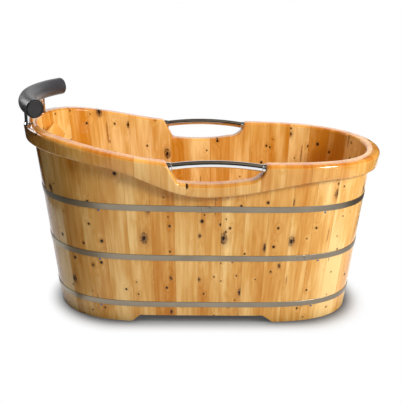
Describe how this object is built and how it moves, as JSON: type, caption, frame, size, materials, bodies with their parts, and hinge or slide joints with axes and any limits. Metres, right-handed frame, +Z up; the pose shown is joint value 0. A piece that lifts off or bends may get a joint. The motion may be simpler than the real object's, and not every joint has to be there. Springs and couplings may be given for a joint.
{
  "type": "wooden bathtub",
  "caption": "Oval coopered soaking bathtub with a raised head end, collared rim, notched sides with grab bars, steel hoops and a lift-off foam headrest",
  "frame": {"origin": "floor level, below the middle of the bounding box", "axes": "+X from the head end to the foot end, +Y to the left when seen facing the foot end, +Z up"},
  "size_m": [1.5513, 0.7112, 0.983],
  "materials": {
    "cedar_stave": "clear glossy varnish over honey-coloured cedar with small dark knots",
    "cedar_rim": "clear glossy varnish over cedar, end grain on top",
    "cedar_board": "satin varnish over pale cedar",
    "hoop_steel": "satin rolled steel strip",
    "chrome_fitting": "polished chrome",
    "headrest_foam": "soft closed-cell foam with a fine satin skin",
    "headrest_cap": "smooth dark moulded end cap",
    "headrest_tube": "plain steel tube, hidden in the foam",
    "drain_brass": "turned brass",
    "drain_rubber": "moulded rubber ring"
  },
  "bodies": {
    "tub": {"stave_01": "cedar_stave", "stave_02": "cedar_stave", "stave_03": "cedar_stave", "stave_04": "cedar_stave", "stave_05": "cedar_stave", "stave_06": "cedar_stave", "stave_07": "cedar_stave", "stave_08": "cedar_stave", "stave_09": "cedar_stave", "stave_10": "cedar_stave", "stave_11": "cedar_stave", "stave_12": "cedar_stave", "stave_13": "cedar_stave", "stave_14": "cedar_stave", "stave_15": "cedar_stave", "stave_16": "cedar_stave", "stave_17": "cedar_stave", "stave_18": "cedar_stave", "stave_19": "cedar_stave", "stave_20": "cedar_stave", "stave_21": "cedar_stave", "stave_22": "cedar_stave", "stave_23": "cedar_stave", "stave_24": "cedar_stave", "stave_25": "cedar_stave", "stave_26": "cedar_stave", "stave_27": "cedar_stave", "stave_28": "cedar_stave", "stave_29": "cedar_stave", "stave_30": "cedar_stave", "stave_31": "cedar_stave", "stave_32": "cedar_stave", "stave_33": "cedar_stave", "stave_34": "cedar_stave", "stave_35": "cedar_stave", "stave_36": "cedar_stave", "rim_collar_foot": "cedar_rim", "rim_collar_left": "cedar_rim", "rim_collar_head": "cedar_rim", "rim_collar_right": "cedar_rim", "hoop_bottom": "hoop_steel", "hoop_middle": "hoop_steel", "hoop_top": "hoop_steel", "hoop_fasteners": "hoop_steel", "floor_boards": "cedar_board", "floor_bearers": "cedar_board", "back_board": "cedar_board", "back_board_cleats": "cedar_board", "grab_bar_left": "chrome_fitting", "grab_bar_right": "chrome_fitting", "grab_bar_ferrules": "chrome_fitting", "headrest_bases": "chrome_fitting", "drain_body": "drain_brass", "drain_nut": "drain_brass", "drain_seal": "drain_rubber"},
    "headrest": {"headrest_foam": "headrest_foam", "headrest_core": "headrest_tube", "headrest_posts": "chrome_fitting", "headrest_caps": "headrest_cap"},
    "drain_plug": {"drain_plug": "chrome_fitting"}
  },
  "joints": [
    {"name": "headrest_lift", "type": "slide", "parent": "tub", "child": "headrest", "axis": [0, 0, 1], "range_m": [0, 0.06]},
    {"name": "plug_lift", "type": "slide", "parent": "tub", "child": "drain_plug", "axis": [0, 0, 1], "range_m": [0, 0.009]}
  ]
}
